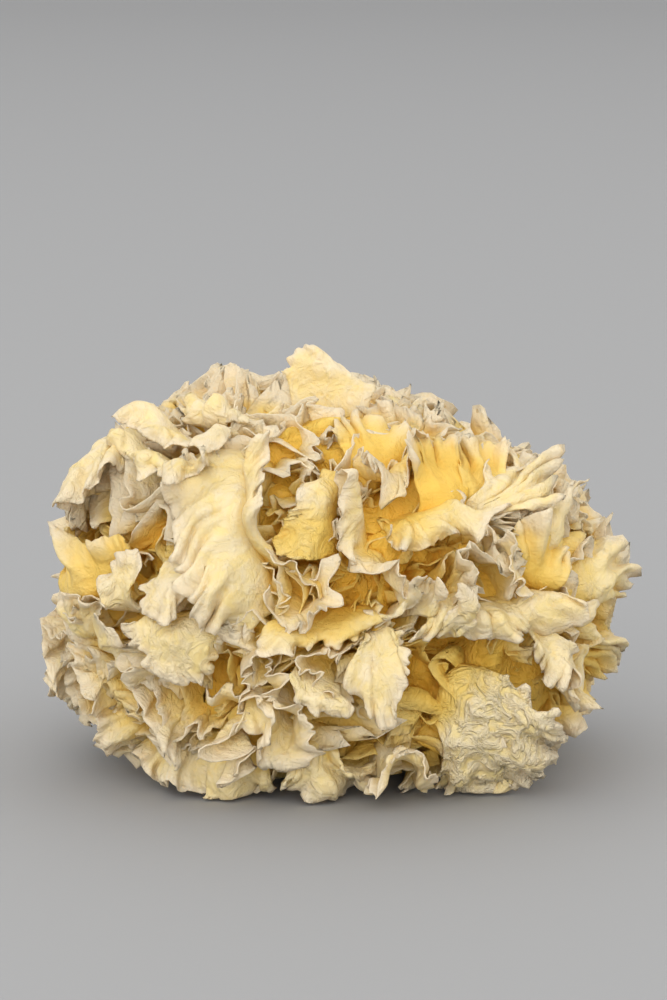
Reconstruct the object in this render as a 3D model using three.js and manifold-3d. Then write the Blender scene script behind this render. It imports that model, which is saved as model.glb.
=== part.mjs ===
// A dried tremella, or snow fungus. It is one grown body: thin ruffled fronds spread from a dense heart,
// crowd into a rounded mass, and end in frilly rims. Below, a short stub was cut flat at the harvest.
// Millimetres, +Z up, front at -Y. The origin is on the surface it rests on, below the middle of its box.
import * as THREE from "three";
import { mergeVertices } from "three/addons/utils/BufferGeometryUtils.js";
import Module from "manifold-3d";

// The globe is the rounded mass that the rims reach. It is a superellipsoid, boxier below.
const CENTRE = new THREE.Vector3(0, 2, 35);
const HALF_WIDTH = 54.5;
const HALF_DEPTH = 46;
const RISE = 36.5; // from the centre up to the crown
const DROP = 34.5; // and down to the surface
const PLAN_EXPONENT = 2.4;
const RISE_EXPONENT = 2.3;
const DROP_EXPONENT = 3.2;
const TILT = 0.16; // the left shoulder stands higher than the right one by this share of the radius

const HEART_REACH = 0.7; // of the globe: the lump of inner folds where the fronds grow together
const HEART_FOLD = 0.05; // how far its surface swells and sinks
const HEART_SAG = 0.2; // how much further it reaches straight down, where the base is dense
const STUB_RADIUS = 13;
const STUB_TOP_RADIUS = 18;
const STUB_HEIGHT = 24; // from the surface up into the heart

// A frond is a ruffled sheet from its rim down to its waist, and from there on into the heart. "fold" is the
// share of the frond's folds that shows at each of these lines.
const RIM = { fold: 1, thickness: 1.2 };
const WAIST = { fold: 0.4, thickness: 2.0 };
const ROOT = { fold: 0.1, thickness: 2.0 };
const ROOT_REACH = 0.62; // a membrane's root lies this far out, just inside the heart
const WAIST_DEPTH = 0.6; // an arc's waist lies this share of its reach out, inside the heart
const WAIST_WIDTH = 0.6; // and is this share of its rim's length
const FACET = 7.2; // length of a facet along the rim
const ARC_STEPS = 8; // straight steps that lay out an arc
const SLACK = 1.25; // a ruffled edge is this much longer than the line that it follows
const UNEVENNESS = 1.3; // radians by which the folds bunch up and spread out along an edge
const CLEARANCE = 1.2; // the lowest rims bend to stay this far above the surface

// How a frond ruffles: the height of its folds, their wavelength, and how far they lean over.
const KINDS = {
  smooth: { fold: 1.0, wave: 18, lean: 0.2 },
  broad: { fold: 2.0, wave: 20, lean: 0.25 },
  pleated: { fold: 2.6, wave: 15, lean: 0.3 },
  frilly: { fold: 3.0, wave: 14, lean: 0.35 },
  creased: { fold: 1.6, wave: 18, lean: 0.2 },
};

// The membranes that show in front. Their rims and waists run through these points: azimuth from the front
// towards +X and elevation, in degrees as seen from the centre, and share of the globe's radius.
const MEMBRANES = [
  // the trumpet of the upper left and the cup that its right edge runs into
  {
    kind: "smooth",
    rim: [[-43, 31, 0.99], [-35, 23, 1.03], [-30, 12, 1.03], [-25, 4, 1.04], [-19, -2, 1.01]],
    waist: [[-27, 38, 0.86], [-21, 25, 0.91], [-17, 13, 0.88], [-15, 5, 0.86]],
  },
  {
    kind: "smooth",
    rim: [[-19, 38, 0.99], [-16, 29, 1.04], [-13, 20, 1.03], [-9, 13.5, 1.04], [-1, 11, 1.02]],
    waist: [[-24, 33, 0.9], [-21, 21, 0.87], [-17, 12, 0.8], [-9, 14, 0.76]],
  },
  {
    kind: "smooth",
    rim: [[-18, 7, 0.97], [-11, 5, 1.04], [-5, 4, 1.07], [-1, 7, 1.07], [-2, 11, 1.03], [-8, 12, 1]],
    waist: [[-13, 9, 0.8], [-9, 7.5, 0.76], [-6, 8, 0.75], [-6, 10, 0.76]],
  },
  // the pale tongue, the leaf below it and the bowl at the left
  {
    kind: "smooth",
    rim: [[-40, 8, 1], [-38, 1, 1.05], [-33, 0, 1.06], [-31, 7, 1]],
    waist: [[-39, 15, 0.88], [-34, 15, 0.88]],
  },
  {
    kind: "creased",
    rim: [[-41, -4, 0.99], [-36, -11, 1.04], [-30, -13, 1.06], [-25, -12, 1.05], [-23, -4, 1]],
    waist: [[-38, 3, 0.86], [-31, 4, 0.88], [-26, 3, 0.86]],
  },
  {
    kind: "smooth",
    rim: [[-70, 11, 1], [-59, 14, 1.03], [-50, 16, 1.01], [-44, 20, 0.98]],
    waist: [[-64, 1, 0.92], [-53, 2, 0.84], [-46, 7, 0.78]],
  },
  {
    kind: "creased",
    rim: [[-58, 36, 0.97], [-66, 28, 1], [-69, 19, 1]],
    waist: [[-50, 31, 0.86], [-55, 24, 0.84], [-58, 17, 0.84]],
  },
  {
    kind: "pleated",
    rim: [[-80, 34, 1], [-78, 24, 1.03], [-76, 14, 1]],
    waist: [[-66, 30, 0.86], [-66, 22, 0.86], [-66, 14, 0.86]],
  },
  // the table and the upright pleats below the cup
  {
    kind: "smooth",
    rim: [[-17, 0, 0.98], [-9, -2, 1.01], [0, -3, 1.01], [7, -1, 1]],
    waist: [[-13, 5, 0.87], [-2, 4, 0.88], [8, 5, 0.86]],
  },
  {
    kind: "smooth",
    rim: [
      [-20, -3, 1], [-15, -11, 1.04], [-13, -20, 1.05], [-12, -29, 1.07], [-8.5, -31, 1.08],
      [-7, -25, 1.06], [-10, -17, 1.04], [-14, -8, 1.01], [-16, -2, 0.98],
    ],
    waist: [[-17, -5, 0.72], [-13, -16, 0.72], [-10, -26, 0.75], [-11, -16, 0.72], [-14, -6, 0.7]],
  },
  {
    kind: "pleated",
    rim: [[-27, -14, 0.99], [-22, -18, 1.03], [-20, -24, 1.05], [-21, -33, 1.07]],
    waist: [[-28, -18, 0.8], [-26, -24, 0.78], [-26, -32, 0.8]],
  },
  {
    kind: "smooth",
    rim: [[-19, -22, 1], [-16, -26, 1.03], [-13, -25, 1.02]],
    waist: [[-19, -16, 0.85], [-14, -17, 0.85]],
  },
  // the scoop and the spearhead in the middle
  {
    kind: "smooth",
    rim: [
      [7, -4, 0.98], [1, -4.5, 1.03], [-5, -6, 1.05],
      [-5, -11, 1.05], [0, -17, 1.04], [5, -18, 1.03],
    ],
    waist: [[4, -7, 0.76], [0, -9, 0.72], [1, -13, 0.74], [4, -14, 0.78]],
  },
  {
    kind: "creased",
    rim: [
      [5, -6, 1.03], [2.5, -13, 1.06], [7, -19, 1.09], [12, -24, 1.1],
      [13, -18, 1.09], [16, -13, 1.09], [12, -5, 1.04],
    ],
    waist: [[6.5, -2, 0.9], [8.5, -3, 0.93], [10, -1, 0.9]],
  },
  {
    kind: "creased",
    rim: [[-10, -11, 1], [-6, -16, 1.03], [-1, -20, 1.03], [3, -22, 1]],
    waist: [[-10, -18, 0.82], [-4, -23, 0.82], [1, -26, 0.82]],
  },
  // the pitted cheek, the ribbon beside it and the pale frill it ends in
  {
    kind: "creased",
    rim: [[-2, 37, 0.96], [-7, 29, 0.99], [-11, 22, 1.01], [-14, 16, 1]],
    waist: [[4, 33, 0.87], [1, 24, 0.88], [-3, 16, 0.87]],
  },
  {
    kind: "broad",
    rim: [[-3, 27, 0.97], [1, 20, 1.02], [5, 12, 1.04], [10, 6, 1.05], [14, 2, 1.03]],
    waist: [[5, 25, 0.8], [9, 16, 0.79], [12, 9, 0.8]],
  },
  {
    kind: "frilly",
    rim: [[7, 0, 1.02], [10, 5, 1.05], [13, 9, 1.04], [18, 7, 1.04], [17, 1, 1.03]],
    waist: [[11, 2, 0.85], [14, 5, 0.86], [15, 1, 0.85]],
  },
  // the brow over the deepest holes, and the horn and the ridge below them
  {
    kind: "frilly",
    rim: [[9, 18, 0.97], [14, 15, 1], [20, 16, 1.03], [25, 18, 1.03], [31, 17, 1.04], [34, 12, 1]],
    waist: [[14, 25, 0.8], [20, 26, 0.83], [28, 24, 0.82]],
  },
  {
    kind: "smooth",
    rim: [[31, 16, 1.02], [33, 11, 1.05], [36, 5, 1.05], [41, 2, 1.02]],
    waist: [[35, 17, 0.85], [38, 11, 0.84], [41, 7, 0.84]],
  },
  {
    kind: "smooth",
    rim: [[20, -2, 1], [21, 5, 1.06], [24, 6.5, 1.08], [27, 5, 1.06], [26, -3, 1]],
    waist: [[22, -6, 0.86], [24, -6, 0.88], [26, -7, 0.86]],
  },
  {
    kind: "frilly",
    rim: [
      [14, -8, 1], [20, -6, 1.03], [27, -6, 1.04], [33, -8, 1.05],
      [39, -6, 1.05], [45, -7, 1.04], [50, -2, 1.01],
    ],
    waist: [[18, 3, 0.87], [28, 4, 0.87], [38, 4, 0.87], [45, 6, 0.87]],
  },
  // the cups and the ribbed fan of the upper right
  {
    kind: "smooth",
    rim: [[2, 48, 0.96], [10, 54, 1], [22, 53, 1], [31, 47, 1]],
    waist: [[7, 38, 0.82], [14, 34, 0.84], [21, 38, 0.83]],
  },
  {
    kind: "broad",
    rim: [[7, 41, 0.96], [10, 34, 1], [13, 31, 1.03], [19, 34, 1.03], [25, 37, 1.02], [31, 41, 1]],
    waist: [[12, 37, 0.8], [15, 36, 0.78], [22, 38, 0.8], [27, 41, 0.82]],
  },
  {
    kind: "smooth",
    rim: [[20, 37, 0.99], [26, 43, 1.01], [34, 42, 1.01], [39, 38, 1]],
    waist: [[21, 24, 0.86], [28, 20, 0.86], [34, 23, 0.85]],
  },
  {
    kind: "smooth",
    rim: [[38, 39, 1], [45, 37, 1.02], [51, 37, 1.03], [55, 33, 1.02]],
    waist: [[35, 27, 0.87], [39, 24, 0.87], [44, 25, 0.87]],
  },
  {
    kind: "creased",
    rim: [[49, 35, 1.02], [57, 33, 1.05], [62, 28, 1.05], [58, 22, 1.03], [51, 18, 1]],
    waist: [[36, 26, 0.93], [37, 24, 0.93], [38, 21, 0.93]],
  },
  {
    kind: "frilly",
    rim: [[58, 37, 1.05], [66, 34, 1.06], [74, 28, 1.04], [72, 20, 1]],
    waist: [[54, 28, 0.9], [60, 25, 0.89], [62, 19, 0.88]],
  },
  {
    kind: "smooth",
    rim: [[37, 17, 0.98], [42, 19, 1.01], [50, 16, 1.03], [55, 9, 1.02]],
    waist: [[41, 7, 0.87], [46, 5, 0.87], [50, 3, 0.87]],
  },
  // the crumpled sheet of the lower right, the arch and the skirts on the surface
  {
    kind: "creased",
    rim: [
      [38, -13, 1.02], [46, -18, 1.05], [49, -27, 1.08],
      [44, -37, 1.11], [33, -45, 1.16], [24, -45, 1.13],
    ],
    waist: [[33, -12, 0.92], [29, -14, 0.94], [25, -18, 0.94], [22, -23, 0.92]],
  },
  {
    kind: "smooth",
    rim: [
      [5, -45, 1.1], [7, -36, 1.09], [11, -30, 1.08], [15, -28, 1.08],
      [19, -30, 1.08], [23, -37, 1.09], [25, -46, 1.12],
    ],
    waist: [[12, -42, 0.8], [15, -37, 0.79], [19, -42, 0.8]],
  },
  {
    kind: "creased",
    rim: [[-15, -43, 1.08], [-7, -46, 1.12], [2, -49, 1.15], [8, -47, 1.15], [7, -38, 1.1]],
    waist: [[-9, -30, 0.88], [0, -28, 0.88], [4, -32, 0.88]],
  },
  {
    kind: "frilly",
    rim: [[-36, -42, 1.08], [-28, -44, 1.1], [-18, -44, 1.1]],
    waist: [[-34, -32, 0.86], [-26, -33, 0.86], [-18, -34, 0.86]],
  },
  {
    kind: "frilly",
    rim: [[27, -46, 1.14], [34, -46, 1.16], [42, -44, 1.14], [48, -38, 1.1]],
    waist: [[30, -38, 0.84], [36, -37, 0.84], [43, -33, 0.84]],
  },
];

// The crown and the crowded upright frills low on both sides, laid out as arcs. "at" is the middle of the
// rim, as [azimuth, elevation]. The rim heads off at "turn", where 0 runs along +azimuth and 90 straight up.
// It is "span" long, and its heading changes by "curl" on the way. "reach" is how far out it is at its start,
// middle and end, and "lean" is where the waist lies from the rim: [across, up].
const FRONDS = [
  { kind: "creased", at: [-8, 74], turn: 5, span: 34, curl: -110, reach: [1, 1.19, 1.02], lean: [0, -16] },
  { kind: "frilly", at: [-62, 54], turn: 40, span: 42, curl: -100, reach: [1, 1.04, 1], lean: [8, -14] },
  { kind: "frilly", at: [-46, 42], turn: 20, span: 40, curl: 40, reach: [0.98, 1.03, 0.98], lean: [10, -12] },
  { kind: "frilly", at: [-30, 48], turn: 10, span: 36, curl: -60, reach: [0.98, 1.02, 0.98], lean: [6, -10] },
  { kind: "frilly", at: [-44, -20], turn: 80, span: 32, curl: 30, reach: [0.98, 1.03, 1], lean: [6, 0] },
  { kind: "frilly", at: [-57, -12], turn: 95, span: 36, curl: -30, reach: [1, 1.04, 1], lean: [4, 0] },
  { kind: "frilly", at: [-62, -34], turn: 70, span: 34, curl: 40, reach: [1.06, 1.12, 1.06], lean: [6, 4] },
  { kind: "frilly", at: [-80, -22], turn: 75, span: 40, curl: -40, reach: [1.02, 1.06, 1], lean: [0, 4] },
  { kind: "frilly", at: [-48, -36], turn: -15, span: 32, curl: 10, reach: [1.03, 1.08, 1.05], lean: [0, 10] },
  { kind: "frilly", at: [56, -10], turn: -10, span: 32, curl: 60, reach: [0.98, 1.02, 1.02], lean: [0, 8] },
  { kind: "frilly", at: [62, -30], turn: 30, span: 32, curl: 60, reach: [0.98, 1.03, 1], lean: [-6, 8] },
];

// The sides, the back and the underside repeat without a plan. Their fronds start from evenly spread
// directions, and each one's number sets its turn, its length and its habit.
const SPREAD = 76; // evenly spread directions on the whole globe
const GOLDEN = 0.6180339887;
const FRONT_AZIMUTH = 62; // between these angles the membranes above fill the globe
const FRONT_TOP = 58;
const FRONT_BOTTOM = -50;
const UNDERSIDE = -62; // the stub is below this elevation

const rad = THREE.MathUtils.degToRad;
const FULL_TURN = 2 * Math.PI;
const wasm = await Module();
wasm.setup();

function direction(azimuth, elevation) {
  const level = Math.cos(elevation);
  return new THREE.Vector3(Math.sin(azimuth) * level, -Math.cos(azimuth) * level, Math.sin(elevation));
}

// A superellipse's sum of two shares, which is 1 on its outline.
function joined(a, b, exponent) {
  return (Math.abs(a) ** exponent + Math.abs(b) ** exponent) ** (1 / exponent);
}

// The point at a share "reach" of the way from the centre to the globe's surface, along d.
function onGlobe(d, reach) {
  const { x, y, z } = d.clone().normalize();
  const plan = joined(x / HALF_WIDTH, y / HALF_DEPTH, PLAN_EXPONENT);
  const share = z > 0 ? joined(plan, z / RISE, RISE_EXPONENT) : joined(plan, z / DROP, DROP_EXPONENT);
  const radius = (1 - TILT * x * Math.max(z, 0)) / share;
  return new THREE.Vector3(x, y, z).multiplyScalar(reach * radius).add(CENTRE);
}

// The curve through three values at s = 0, 1/2 and 1.
function throughThree(s, first, middle, last) {
  return first * (1 - s) * (1 - 2 * s) + middle * 4 * s * (1 - s) + last * s * (2 * s - 1);
}

// An arc on the globe along the frond's rim, "depth" times as far out and "width" times as long. Its middle
// is moved by "lean" degrees.
function arc(frond, depth, width, lean) {
  const azimuth = rad(frond.at[0]);
  const elevation = rad(frond.at[1]);
  const out = direction(azimuth, elevation);
  const across = direction(azimuth + Math.PI / 2, 0);
  const up = direction(azimuth, elevation + Math.PI / 2);
  const pace = (rad(frond.span) * width) / ARC_STEPS;
  const spots = [new THREE.Vector2()];
  for (let i = 0; i < ARC_STEPS; i++) {
    const heading = rad(frond.turn + frond.curl * ((i + 0.5) / ARC_STEPS - 0.5));
    const step = new THREE.Vector2(Math.cos(heading), Math.sin(heading));
    spots.push(spots[i].clone().addScaledVector(step, pace));
  }
  const middle = new THREE.Vector2();
  spots.forEach((spot) => middle.addScaledVector(spot, 1 / spots.length));
  const points = spots.map((spot, i) => {
    const d = out.clone().addScaledVector(across, spot.x - middle.x + rad(lean[0]));
    d.addScaledVector(up, spot.y - middle.y + rad(lean[1]));
    return onGlobe(d, depth * throughThree(i / ARC_STEPS, ...frond.reach));
  });
  return new THREE.CatmullRomCurve3(points, false, "catmullrom", 0.5);
}

// The curve through points given as [azimuth, elevation, reach], all of them at "level" if that is given.
function curveThrough(points, level) {
  const places = points.map(([azimuth, elevation, reach]) => {
    return onGlobe(direction(rad(azimuth), rad(elevation)), level ?? reach);
  });
  return new THREE.CatmullRomCurve3(places);
}

// The lines that a frond is stretched over, from the innermost one out to its rim.
function linesOf(frond) {
  if (frond.at) {
    return [
      { curve: arc(frond, WAIST_DEPTH, WAIST_WIDTH, frond.lean), ...WAIST },
      { curve: arc(frond, 1, 1, [0, 0]), ...RIM },
    ];
  }
  return [
    { curve: curveThrough(frond.waist, ROOT_REACH), ...ROOT },
    { curve: curveThrough(frond.waist), ...WAIST },
    { curve: curveThrough(frond.rim), ...RIM },
  ];
}

// A frond as a closed solid: the two faces of its sheet, and the edges between them.
function frondSolid(frond, phase) {
  const lines = linesOf(frond);
  const rim = lines.length - 1;
  const length = lines[rim].curve.getLength() * SLACK;
  const columns = Math.max(3, Math.round(length / FACET));
  const rows = lines.map((line) => line.curve.getSpacedPoints(columns));
  const { fold, wave, lean } = KINDS[frond.kind];
  const folds = Math.max(length / wave, 0.6);
  const positions = [];
  for (const side of [-1, 1]) {
    rows.forEach((row, r) => row.forEach((point, i) => {
      const along = row[Math.min(i + 1, columns)].clone().sub(row[Math.max(i - 1, 0)]).normalize();
      const outward = rows[Math.max(r, 1)][i].clone().sub(rows[Math.max(r, 1) - 1][i]);
      const normal = outward.cross(along).normalize();
      const s = i / columns;
      const drift = Math.sin(FULL_TURN * (0.37 * folds * s + phase));
      const angle = FULL_TURN * (folds * s + phase) + UNEVENNESS * drift;
      const height = fold * lines[r].fold;
      const toFace = (side * lines[r].thickness) / 2;
      const corner = point.clone().addScaledVector(normal, height * Math.sin(angle) + toFace);
      corner.addScaledVector(along, lean * height * Math.sin(2 * angle));
      corner.z = Math.max(corner.z, CLEARANCE + toFace);
      positions.push(...corner);
    }));
  }
  const triangles = [];
  const quad = (a, b, c, d) => triangles.push(a, b, c, a, c, d);
  const at = (side, r, i) => (side * lines.length + r) * (columns + 1) + i;
  for (let r = 0; r < rim; r++) {
    for (let i = 0; i < columns; i++) {
      quad(at(0, r, i), at(0, r, i + 1), at(0, r + 1, i + 1), at(0, r + 1, i));
      quad(at(1, r, i), at(1, r + 1, i), at(1, r + 1, i + 1), at(1, r, i + 1));
    }
    quad(at(0, r, 0), at(0, r + 1, 0), at(1, r + 1, 0), at(1, r, 0));
    quad(at(0, r, columns), at(1, r, columns), at(1, r + 1, columns), at(0, r + 1, columns));
  }
  for (let i = 0; i < columns; i++) {
    quad(at(0, rim, i), at(0, rim, i + 1), at(1, rim, i + 1), at(1, rim, i));
    quad(at(0, 0, i), at(1, 0, i), at(1, 0, i + 1), at(0, 0, i + 1));
  }
  return toManifold(positions, triangles);
}

function toManifold(positions, triangles) {
  const vertProperties = new Float32Array(positions);
  const triVerts = new Uint32Array(triangles);
  return new wasm.Manifold(new wasm.Mesh({ numProp: 3, vertProperties, triVerts }));
}

// A three.js geometry as a solid, each of its points moved by "place".
function geometrySolid(geometry, place = (point) => point) {
  geometry.deleteAttribute("normal");
  geometry.deleteAttribute("uv");
  const merged = mergeVertices(geometry);
  const corners = merged.getAttribute("position");
  const positions = [];
  for (let i = 0; i < corners.count; i++) {
    positions.push(...place(new THREE.Vector3().fromBufferAttribute(corners, i)));
  }
  return toManifold(positions, merged.index.array);
}

// The fronds of the sides, the back and the underside.
function spreadFronds() {
  const share = (number, factor) => (number * factor) % 1;
  const fronds = [];
  for (let i = 0; i < SPREAD; i++) {
    const elevation = THREE.MathUtils.radToDeg(Math.asin(1 - (2 * i + 1) / SPREAD));
    const azimuth = 360 * share(i, GOLDEN) - 180;
    const inFront = Math.abs(azimuth) < FRONT_AZIMUTH && elevation > FRONT_BOTTOM && elevation < FRONT_TOP;
    if (inFront || elevation < UNDERSIDE) continue;
    const kind = ["frilly", "broad", "frilly", "pleated", "frilly"][i % 5];
    const middleReach = 0.97 + 0.05 * share(i, 0.57);
    fronds.push({
      kind,
      at: [azimuth, elevation],
      turn: 180 * share(i, 0.7549),
      span: 32 + 14 * share(i, 0.819),
      curl: 120 * share(i, 0.671) - 60,
      reach: [middleReach - 0.1, middleReach, middleReach - 0.1],
      lean: [0, 0],
    });
  }
  return fronds;
}

function fruitingBody() {
  const heart = geometrySolid(new THREE.IcosahedronGeometry(1, 2), (d) => {
    const swell = HEART_FOLD * Math.sin(9 * d.x + 5 * d.z) * Math.cos(8 * d.y - 4 * d.x);
    return onGlobe(d, HEART_REACH + swell + HEART_SAG * Math.min(d.z, 0) ** 2);
  });
  const stub = new THREE.CylinderGeometry(STUB_TOP_RADIUS, STUB_RADIUS, STUB_HEIGHT, 20);
  stub.rotateX(Math.PI / 2).translate(0, 0, STUB_HEIGHT / 2);
  const fronds = [...MEMBRANES, ...FRONDS, ...spreadFronds()];
  const sheets = fronds.map((frond, i) => frondSolid(frond, (i * GOLDEN) % 1));
  const whole = wasm.Manifold.union([heart, geometrySolid(stub), ...sheets]);
  // Where folds cross they can close off a speck of space. Only the outer body is kept.
  const body = whole.decompose().reduce((a, b) => (b.volume() > a.volume() ? b : a));
  const box = body.boundingBox();
  const middle = [0, 1].map((axis) => (box.min[axis] + box.max[axis]) / 2);
  const { vertProperties, triVerts } = body.translate([-middle[0], -middle[1], 0]).getMesh();
  const geometry = new THREE.BufferGeometry();
  geometry.setAttribute("position", new THREE.BufferAttribute(vertProperties, 3));
  geometry.setIndex(new THREE.BufferAttribute(triVerts, 1));
  geometry.computeVertexNormals();
  const material = new THREE.MeshStandardMaterial({ color: 0xebcf93, roughness: 0.62, metalness: 0 });
  const mesh = new THREE.Mesh(geometry, material);
  mesh.name = "fruiting_body";
  return mesh;
}

const tremella = new THREE.Group();
tremella.add(fruitingBody());

export default tremella;
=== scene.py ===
"""The looks of a dried tremella: thin ruffled fronds around a dense heart, on a plain grey floor."""
import math
from collections import namedtuple

import bpy
import numpy as np
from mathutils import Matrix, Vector


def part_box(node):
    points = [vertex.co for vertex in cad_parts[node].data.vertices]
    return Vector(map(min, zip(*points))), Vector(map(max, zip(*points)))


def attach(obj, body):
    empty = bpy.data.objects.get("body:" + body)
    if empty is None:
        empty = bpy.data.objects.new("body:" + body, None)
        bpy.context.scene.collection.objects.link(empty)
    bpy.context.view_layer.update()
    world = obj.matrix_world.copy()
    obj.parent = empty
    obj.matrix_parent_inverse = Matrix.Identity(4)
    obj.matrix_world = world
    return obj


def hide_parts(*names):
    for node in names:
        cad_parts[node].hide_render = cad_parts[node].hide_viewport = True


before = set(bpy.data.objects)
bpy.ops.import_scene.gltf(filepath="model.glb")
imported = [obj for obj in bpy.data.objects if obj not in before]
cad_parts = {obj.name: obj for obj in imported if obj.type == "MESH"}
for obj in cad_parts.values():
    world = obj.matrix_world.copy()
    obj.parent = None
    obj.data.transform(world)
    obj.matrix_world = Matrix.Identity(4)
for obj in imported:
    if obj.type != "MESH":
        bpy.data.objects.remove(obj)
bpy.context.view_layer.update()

MM = 0.001
NODE = "fruiting_body"
LOW, HIGH = (np.array(corner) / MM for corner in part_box(NODE))
WIDTH, DEPTH, HEIGHT = HIGH - LOW

# The globe that the rims reach is a superellipsoid, worked out from the CAD node's box. Lengths are in mm.
CENTRE = np.array([0.0071 * WIDTH, 0.0170 * DEPTH, 0.446 * HEIGHT])
HALF_WIDTH = 0.490 * WIDTH
HALF_DEPTH = 0.474 * DEPTH
RISE = 0.465 * HEIGHT
DROP = 0.4395 * HEIGHT
PLAN_EXPONENT = 2.4
RISE_EXPONENT = 2.3
DROP_EXPONENT = 3.2
TILT = 0.16  # the left shoulder stands higher than the right one

# What comes lower than BENT_BELOW is bent so that it stays FLOOR_GAP above the floor, in mm.
FLOOR_GAP = 0.4
BENT_BELOW = 8

# How finely a frond is meshed: its rows from the heart to the rim, the spacing of its columns along the
# rim in mm, and the share of the way out at which it starts, inside the heart.
Detail = namedtuple("Detail", "rows spacing start")
PLACED = Detail(30, 0.34, 0.45)
SPREAD = Detail(8, 0.31, 0.6)
ROW_CROWDING = 0.8  # below 1, the rows are closer together near the rim
INNER_ROWS = 0.45  # the share of the rows that are hidden and have half as many columns

ROOT = 0.35  # where a frond is rooted, as a share of the way from the centre to its waist
ARC_WAIST = 0.62  # how far out and how wide an arc's waist is, as a share of its rim
HALF_THICKNESS_INSIDE = 0.45  # mm
HALF_THICKNESS_AT_RIM = 0.12

# The ragged edge of a rim: lobes, teeth and tears, each with its length along the rim in mm and its depth
# as a share of the kind's fray. RIM_LIFT brings the whole rim back out by such a share.
LOBES = ((6, 0.8), (2.8, 0.6), (1.7, 0.5))
TOOTH_LENGTH, TOOTH_DEPTH = 1.2, 0.4
TEAR_SPACING, TEAR_DEPTH = 6, 2
RIM_LIFT = 0.6
CORNER = 6  # mm, the radius at which the two ends of a rim are rounded off
EDGE_FROM = 0.7  # the share of the way out at which the edge and the lip begin
LIP_LENGTH = 11  # mm along the rim from one bend of the lip to the next

# Ruffles. Their wavelength and swing vary along the rim, and their crests drift on the way out to it.
FEWEST_CYCLES = 0.7
WANDER = 0.7  # cycles
PHASE_STEP = 0.618  # cycles by which each further line of ruffles is ahead
UNEVENNESS = 0.6  # share of the swing
UNEVEN_PITCH = 0.8  # how often the swing changes along the rim, per cycle
DRIFT = 1.5  # radians
FULL_SWING_AT = 1.08  # share of the way out at which a ruffle would have its full swing
STEEPEST = 1.8  # radians that a ruffled line may turn away from the way it runs

# The seeds of one frond's random lines are its number plus these.
LOBE_SEED, TEAR_SEED, TOOTH_SEED, LIP_SEED = 300, 500, 700, 800
# The seed of the noise that makes a ruffle's swing uneven is the ruffle's plus this, read from this far on.
SWING_SEED, SWING_OFFSET = 5, 50

# Noise that bends the finished sheets: size and cell in mm. The warps run through the whole body, the
# curl through its outer part, and the creases across each face, in proportion to the kind's crinkle.
WARPS = ((2.6, 22), (1.5, 9))
CURL = (0.8, 4)
CREASES = ((0.65, 4.5), (0.455, 2))


def kind(fray, lip, crinkle, *levels):
    """How a kind of frond ruffles.

    fray is how ragged the rim is and lip how far it bends over sideways, in mm, and crinkle is how rough
    its faces are. A level of ruffle is its wavelength in mm, how steeply its line swings at the rim in
    radians, and the share of the way out at which it starts.
    """
    return dict(fray=fray, lip=lip, crinkle=crinkle, levels=levels)


KINDS = {
    "smooth": kind(1.7, 2.5, 0.4, (15, 0.35, 0.3), (7, 1.2, 0.62), (3.2, 1.9, 0.78), (1.8, 1.5, 0.88)),
    "broad": kind(1.8, 3.5, 0.6, (17, 0.8, 0.1), (7, 1.4, 0.5), (3.2, 1.9, 0.72), (1.8, 1.5, 0.88)),
    "pleated": kind(1.7, 3, 0.6, (9, 1.2, 0), (5, 1.6, 0.35), (2.8, 1.6, 0.7), (1.7, 1.4, 0.88)),
    "frilly": kind(1.9, 3, 0.6, (11, 0.9, 0.2), (5.2, 1.9, 0.42), (2.6, 1.6, 0.7), (1.7, 1.3, 0.88)),
    "cupped": kind(1.6, 2, 0.6, (5.5, 1.7, 0.3), (2.8, 1.6, 0.74), (1.8, 1.4, 0.88)),
    "leaf": kind(1.2, 1, 0.9, (20, 0.3, 0.2), (6, 0.7, 0.65), (3.2, 1.5, 0.8), (1.8, 1.2, 0.9)),
    "blade": kind(0.8, 0.5, 0.5, (20, 0.2, 0.2), (6, 0.6, 0.65), (2.6, 1.2, 0.85)),
    "creased": kind(1.9, 3, 0.8, (13, 0.7, 0.1), (6, 1.5, 0.45), (3, 1.8, 0.72), (1.8, 1.5, 0.88)),
    "crumpled": kind(1.6, 1.5, 1.7, (16, 0.35, 0.2), (7, 0.5, 0.6), (3, 1.5, 0.8), (1.8, 1.2, 0.9)),
}


# ---- curves and noise ----

def smooth(v, start, end):
    t = np.clip((v - start) / (end - start), 0, 1)
    return t * t * (3 - 2 * t)


def unit(vectors):
    return vectors / np.maximum(np.linalg.norm(vectors, axis=-1, keepdims=True), 1e-9)


def joined(a, b, exponent):
    return (np.abs(a) ** exponent + np.abs(b) ** exponent) ** (1 / exponent)


def globe_radius(directions):
    """How far the globe's surface is from its centre, along unit directions."""
    x, y, z = np.moveaxis(directions, -1, 0)
    plan = joined(x / HALF_WIDTH, y / HALF_DEPTH, PLAN_EXPONENT)
    above = joined(plan, z / RISE, RISE_EXPONENT)
    below = joined(plan, z / DROP, DROP_EXPONENT)
    return (1 - TILT * x * np.maximum(z, 0)) / np.where(z > 0, above, below)


def reach_of(points):
    """The share of the way from the centre to the globe's surface."""
    away = points - CENTRE
    return np.linalg.norm(away, axis=-1) / globe_radius(unit(away))


def direction(azimuth, elevation):
    level = np.cos(elevation)
    rise = np.sin(elevation) + 0 * azimuth
    return np.stack([np.sin(azimuth) * level, -np.cos(azimuth) * level, rise], -1)


def on_globe(directions, reach):
    """The points along unit directions that are this share of the way out to the globe's surface."""
    return CENTRE + directions * (reach * globe_radius(directions))[..., None]


def through_three(s, first, middle, last):
    """The curve through three values at s = 0, 1/2 and 1."""
    return first * (1 - s) * (1 - 2 * s) + middle * 4 * s * (1 - s) + last * s * (2 * s - 1)


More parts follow.
